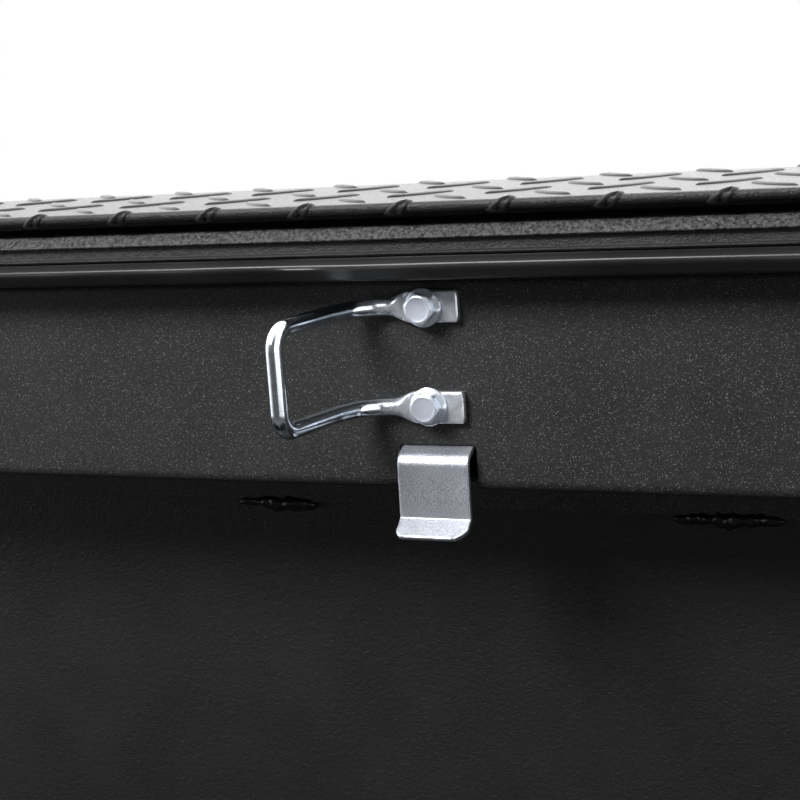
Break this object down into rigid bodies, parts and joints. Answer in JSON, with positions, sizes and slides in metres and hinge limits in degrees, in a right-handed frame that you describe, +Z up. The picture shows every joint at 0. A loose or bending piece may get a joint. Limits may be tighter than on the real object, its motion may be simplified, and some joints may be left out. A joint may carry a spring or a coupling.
{
  "type": "truck tool box",
  "caption": "Full-width crossover truck tool box with a textured black tread lid standing open on a long hinge, gas struts, hook latch, striker loop and side paddle handles.",
  "frame": {"origin": "centre of the underside of the tub floor", "axes": "+Z up, -Y towards the front of the box where the lid opens, +X along the box to the right seen from the front"},
  "size_m": [1.778, 0.598, 0.8712],
  "materials": {
    "black_powder_coat": "textured matt",
    "black_rubber": "matt",
    "stainless": "brushed",
    "bright_steel": "ground",
    "aluminium_rivet": "satin",
    "zinc_plate": "zinc plated",
    "black_enamel": "gloss",
    "chrome": "polished",
    "black_plastic": "moulded"
  },
  "bodies": {
    "tub": {"dish_rivets": "aluminium_rivet", "drain_plugs": "black_rubber", "end_panel_left": "black_powder_coat", "end_panel_right": "black_powder_coat", "handle_dish_left": "stainless", "handle_dish_right": "stainless", "hinge_leaf_body": "stainless", "hinge_pin": "bright_steel", "hinge_rivets_body": "aluminium_rivet", "hook_pin": "bright_steel", "hook_spring": "bright_steel", "latch_bolts": "zinc_plate", "latch_bracket": "zinc_plate", "latch_nuts": "zinc_plate", "latch_plate_front": "zinc_plate", "latch_plate_rear": "zinc_plate", "lock_housing_left": "chrome", "lock_housing_right": "chrome", "lock_nut_left": "chrome", "lock_nut_right": "chrome", "paddle_pin_left": "bright_steel", "paddle_pin_right": "bright_steel", "pawl_pin": "bright_steel", "pawl_spring": "bright_steel", "rail_pad_left": "black_rubber", "rail_pad_right": "black_rubber", "rod_guides": "black_plastic", "strut_plate_tub_left": "zinc_plate", "strut_plate_tub_right": "zinc_plate", "tub_shell": "black_powder_coat"},
    "lid": {"lid_skin": "black_powder_coat", "lid_inner_frame": "black_powder_coat", "lid_seal": "black_rubber", "lid_front_channel": "black_powder_coat", "lid_rear_channel": "black_powder_coat", "lid_ribs": "black_powder_coat", "weld_beads": "black_powder_coat", "striker": "zinc_plate", "striker_bolts": "zinc_plate", "striker_nuts": "zinc_plate", "hook_tab": "zinc_plate", "hinge_leaf_lid": "stainless", "hinge_rivets_lid": "aluminium_rivet", "strut_plate_lid_left": "zinc_plate", "strut_plate_lid_right": "zinc_plate"},
    "hook": {"latch_hook": "zinc_plate"},
    "pawl": {"latch_pawl": "zinc_plate"},
    "rod_left": {"pull_rod_left": "zinc_plate"},
    "rod_right": {"pull_rod_right": "zinc_plate"},
    "handle_left": {"paddle_left": "stainless"},
    "handle_right": {"paddle_right": "stainless"},
    "lock_left": {"lock_plug_left": "chrome"},
    "lock_right": {"lock_plug_right": "chrome"},
    "strut_cylinder_left": {"strut_tube_left": "black_enamel"},
    "strut_cylinder_right": {"strut_tube_right": "black_enamel"},
    "strut_piston_left": {"strut_rod_left": "bright_steel"},
    "strut_piston_right": {"strut_rod_right": "bright_steel"}
  },
  "joints": [
    {"name": "lid_hinge", "type": "hinge", "parent": "tub", "child": "lid", "pos_m": [0, 0.2485, 0.3597], "axis": [1, 0, 0], "range_deg": [0, 90]},
    {"name": "hook_turn", "type": "hinge", "parent": "tub", "child": "hook", "pos_m": [-0.058, -0.206, 0.316], "axis": [0, 1, 0], "range_deg": [0, 50]},
    {"name": "pawl_turn", "type": "hinge", "parent": "tub", "child": "pawl", "pos_m": [-0.014, -0.206, 0.306], "axis": [0, -1, 0], "range_deg": [-12, 12]},
    {"name": "handle_left_lift", "type": "hinge", "parent": "tub", "child": "handle_left", "pos_m": [-0.862, -0.184, 0.322], "axis": [0, 1, 0], "range_deg": [0, 25]},
    {"name": "rod_left_pull", "type": "slide", "parent": "tub", "child": "rod_left", "axis": [-1, 0, 0], "range_m": [0, 0.0098]},
    {"name": "lock_left_turn", "type": "hinge", "parent": "tub", "child": "lock_left", "pos_m": [-0.862, -0.184, 0.254], "axis": [1, 0, 0], "range_deg": [0, 90]},
    {"name": "strut_left_pivot", "type": "hinge", "parent": "tub", "child": "strut_cylinder_left", "pos_m": [-0.838, -0.11, 0.332], "axis": [1, 0, 0], "range_deg": [-2.6, 0]},
    {"name": "strut_left_slide", "type": "slide", "parent": "strut_cylinder_left", "child": "strut_piston_left", "axis": [0, 0.9701, 0.2427], "range_m": [-0.1085, 0]},
    {"name": "handle_right_lift", "type": "hinge", "parent": "tub", "child": "handle_right", "pos_m": [0.862, -0.184, 0.322], "axis": [0, -1, 0], "range_deg": [0, 25]},
    {"name": "rod_right_pull", "type": "slide", "parent": "tub", "child": "rod_right", "axis": [1, 0, 0], "range_m": [0, 0.0098]},
    {"name": "lock_right_turn", "type": "hinge", "parent": "tub", "child": "lock_right", "pos_m": [0.862, -0.184, 0.254], "axis": [1, 0, 0], "range_deg": [0, 90]},
    {"name": "strut_right_pivot", "type": "hinge", "parent": "tub", "child": "strut_cylinder_right", "pos_m": [0.838, -0.11, 0.332], "axis": [1, 0, 0], "range_deg": [-2.6, 0]},
    {"name": "strut_right_slide", "type": "slide", "parent": "strut_cylinder_right", "child": "strut_piston_right", "axis": [0, 0.9701, 0.2427], "range_m": [-0.1085, 0]}
  ],
  "couplings": [
    {"joint": "rod_left_pull", "follows": "handle_left_lift", "m_per_rad": 0.022368},
    {"joint": "strut_left_pivot", "follows": "lid_hinge", "ratio": -0.02617},
    {"joint": "strut_left_slide", "follows": "lid_hinge", "m_per_rad": -0.068707},
    {"joint": "rod_right_pull", "follows": "handle_right_lift", "m_per_rad": 0.022368},
    {"joint": "strut_right_pivot", "follows": "lid_hinge", "ratio": -0.02617},
    {"joint": "strut_right_slide", "follows": "lid_hinge", "m_per_rad": -0.068707},
    {"joint": "pawl_turn", "follows": "handle_left_lift", "ratio": 0.48}
  ]
}
